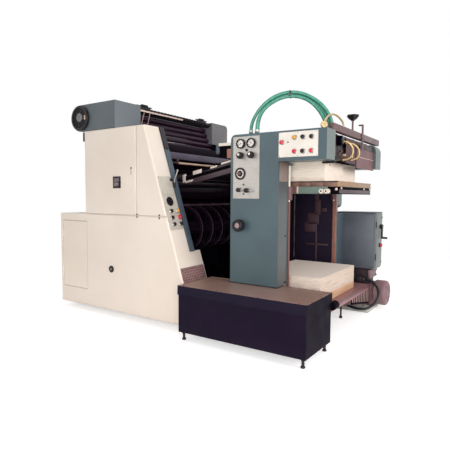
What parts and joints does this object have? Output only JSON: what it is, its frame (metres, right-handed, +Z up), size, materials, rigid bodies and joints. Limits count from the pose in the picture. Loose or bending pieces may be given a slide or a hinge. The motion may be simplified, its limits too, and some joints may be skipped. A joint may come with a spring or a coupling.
{
  "type": "offset printing press",
  "caption": "Sheet-fed offset printing press: one covered printing unit with ink rollers, a slanted feed board and a pile feeder with suction head and footboard.",
  "frame": {"origin": "floor under the middle of the press", "axes": "+X from the delivery end to the feeder, +Y from the operator side to the drive side, +Z up"},
  "size_m": [2.95, 2.182, 2.124],
  "materials": {
    "cream_paint": "satin enamel",
    "teal_paint": "satin enamel",
    "slate_paint": "satin enamel",
    "black_paint": "semi-gloss enamel",
    "cast_iron_bed": "painted casting",
    "steel": "ground",
    "silver_panel": "anodised",
    "white_panel": "satin enamel",
    "ink_rubber": "ground rubber",
    "black_plastic": "moulded",
    "button_plastic": "moulded",
    "tread_plate": "embossed tread",
    "paper": "stacked sheets",
    "skid_wood": "sawn",
    "board_wood": "varnished",
    "post_steel": "primer",
    "brown_paint": "satin enamel",
    "hose_green": "ribbed hose",
    "hose_dark": "moulded hose",
    "tube_cream": "extruded",
    "footboard_brown": "lacquered plate",
    "pump_paint": "satin enamel"
  },
  "bodies": {
    "press": {"air_pump": "pump_paint", "button_panel": "white_panel", "column_knob": "black_plastic", "cream_tube_1": "tube_cream", "cream_tube_2": "tube_cream", "delivery_board": "board_wood", "electrical_cabinet": "teal_paint", "feed_board": "cream_paint", "feed_tapes": "ink_rubber", "feeder_arm_drive": "teal_paint", "feeder_arm_operator": "teal_paint", "feeder_column_drive": "teal_paint", "feeder_column_operator": "teal_paint", "feeder_platform": "brown_paint", "footboard": "black_paint", "footboard_plate": "footboard_brown", "front_cover_operator": "cream_paint", "gauge_panel": "silver_panel", "gauge_panel_controls": "black_plastic", "green_hose_1": "hose_green", "green_hose_2": "hose_green", "green_hose_3": "hose_green", "guide_posts": "post_steel", "head_rail": "brown_paint", "ink_cover_drive": "teal_paint", "ink_cover_operator": "teal_paint", "ink_fountain": "steel", "ink_motor": "black_paint", "kick_plate": "tread_plate", "levelling_feet": "steel", "lower_cover_drive": "cream_paint", "lower_cover_operator": "cream_paint", "lower_skid": "skid_wood", "panel_buttons": "button_plastic", "paper_pile_lower": "paper", "pump_hose": "hose_dark", "rear_guard_plate": "brown_paint", "side_frame_drive": "slate_paint", "side_frame_operator": "slate_paint", "suction_head": "black_paint", "tie_bars": "slate_paint", "unit_bed": "cast_iron_bed", "unit_control_panel": "silver_panel", "unit_panel_controls": "black_plastic", "upper_cover_drive": "cream_paint", "upper_cover_operator": "cream_paint"},
    "pile_lift": {"lift_carriage": "teal_paint", "pile_board": "board_wood", "paper_pile_upper": "paper"},
    "impression": {"impression_cylinder": "steel"},
    "blanket": {"blanket_cylinder": "ink_rubber"},
    "plate": {"plate_cylinder": "steel"},
    "drum": {"transfer_drum": "steel"},
    "door": {"access_door": "cream_paint"},
    "switch": {"switch_handle": "black_plastic"},
    "ink_roller_1": {"ink_roller_1": "ink_rubber"},
    "ink_roller_2": {"ink_roller_2": "ink_rubber"},
    "ink_roller_3": {"ink_roller_3": "ink_rubber"},
    "ink_roller_4": {"ink_roller_4": "ink_rubber"},
    "ink_roller_5": {"ink_roller_5": "ink_rubber"}
  },
  "joints": [
    {"name": "pile_lift_slide", "type": "slide", "parent": "press", "child": "pile_lift", "axis": [0, 0, 1], "range_m": [-0.6, 0]},
    {"name": "door_hinge", "type": "hinge", "parent": "press", "child": "door", "pos_m": [-1.4305, -0.936, 0.581], "axis": [0, 0, -1], "range_deg": [0, 110]},
    {"name": "switch_turn", "type": "hinge", "parent": "press", "child": "switch", "pos_m": [1.375, 0.992, 0.875], "axis": [-1, 0, 0], "range_deg": [0, 90]},
    {"name": "impression_turn", "type": "hinge", "parent": "press", "child": "impression", "pos_m": [-0.405, 0.031, 1], "axis": [0, 1, 0], "continuous": true},
    {"name": "blanket_turn", "type": "hinge", "parent": "press", "child": "blanket", "pos_m": [-0.41533, 0.031, 1.29582], "axis": [0, 1, 0], "continuous": true},
    {"name": "plate_turn", "type": "hinge", "parent": "press", "child": "plate", "pos_m": [-0.46673, 0.031, 1.58732], "axis": [0, 1, 0], "continuous": true},
    {"name": "drum_turn", "type": "hinge", "parent": "press", "child": "drum", "pos_m": [-0.014, 0.031, 0.889], "axis": [0, 1, 0], "continuous": true},
    {"name": "ink_roller_1_turn", "type": "hinge", "parent": "press", "child": "ink_roller_1", "pos_m": [-0.735, 0.031, 2.005], "axis": [0, 1, 0], "continuous": true},
    {"name": "ink_roller_2_turn", "type": "hinge", "parent": "press", "child": "ink_roller_2", "pos_m": [-0.713, 0.031, 1.942], "axis": [0, 1, 0], "continuous": true},
    {"name": "ink_roller_3_turn", "type": "hinge", "parent": "press", "child": "ink_roller_3", "pos_m": [-0.691, 0.031, 1.879], "axis": [0, 1, 0], "continuous": true},
    {"name": "ink_roller_4_turn", "type": "hinge", "parent": "press", "child": "ink_roller_4", "pos_m": [-0.669, 0.031, 1.816], "axis": [0, 1, 0], "continuous": true},
    {"name": "ink_roller_5_turn", "type": "hinge", "parent": "press", "child": "ink_roller_5", "pos_m": [-0.647, 0.031, 1.753], "axis": [0, 1, 0], "continuous": true}
  ],
  "couplings": [
    {"joint": "blanket_turn", "follows": "impression_turn", "ratio": -1},
    {"joint": "plate_turn", "follows": "impression_turn", "ratio": 1},
    {"joint": "drum_turn", "follows": "impression_turn", "ratio": -0.70388},
    {"joint": "ink_roller_1_turn", "follows": "impression_turn", "ratio": -5.0877},
    {"joint": "ink_roller_2_turn", "follows": "impression_turn", "ratio": 5.0877},
    {"joint": "ink_roller_3_turn", "follows": "impression_turn", "ratio": -5.0877},
    {"joint": "ink_roller_4_turn", "follows": "impression_turn", "ratio": 5.0877},
    {"joint": "ink_roller_5_turn", "follows": "impression_turn", "ratio": -5.0877}
  ]
}
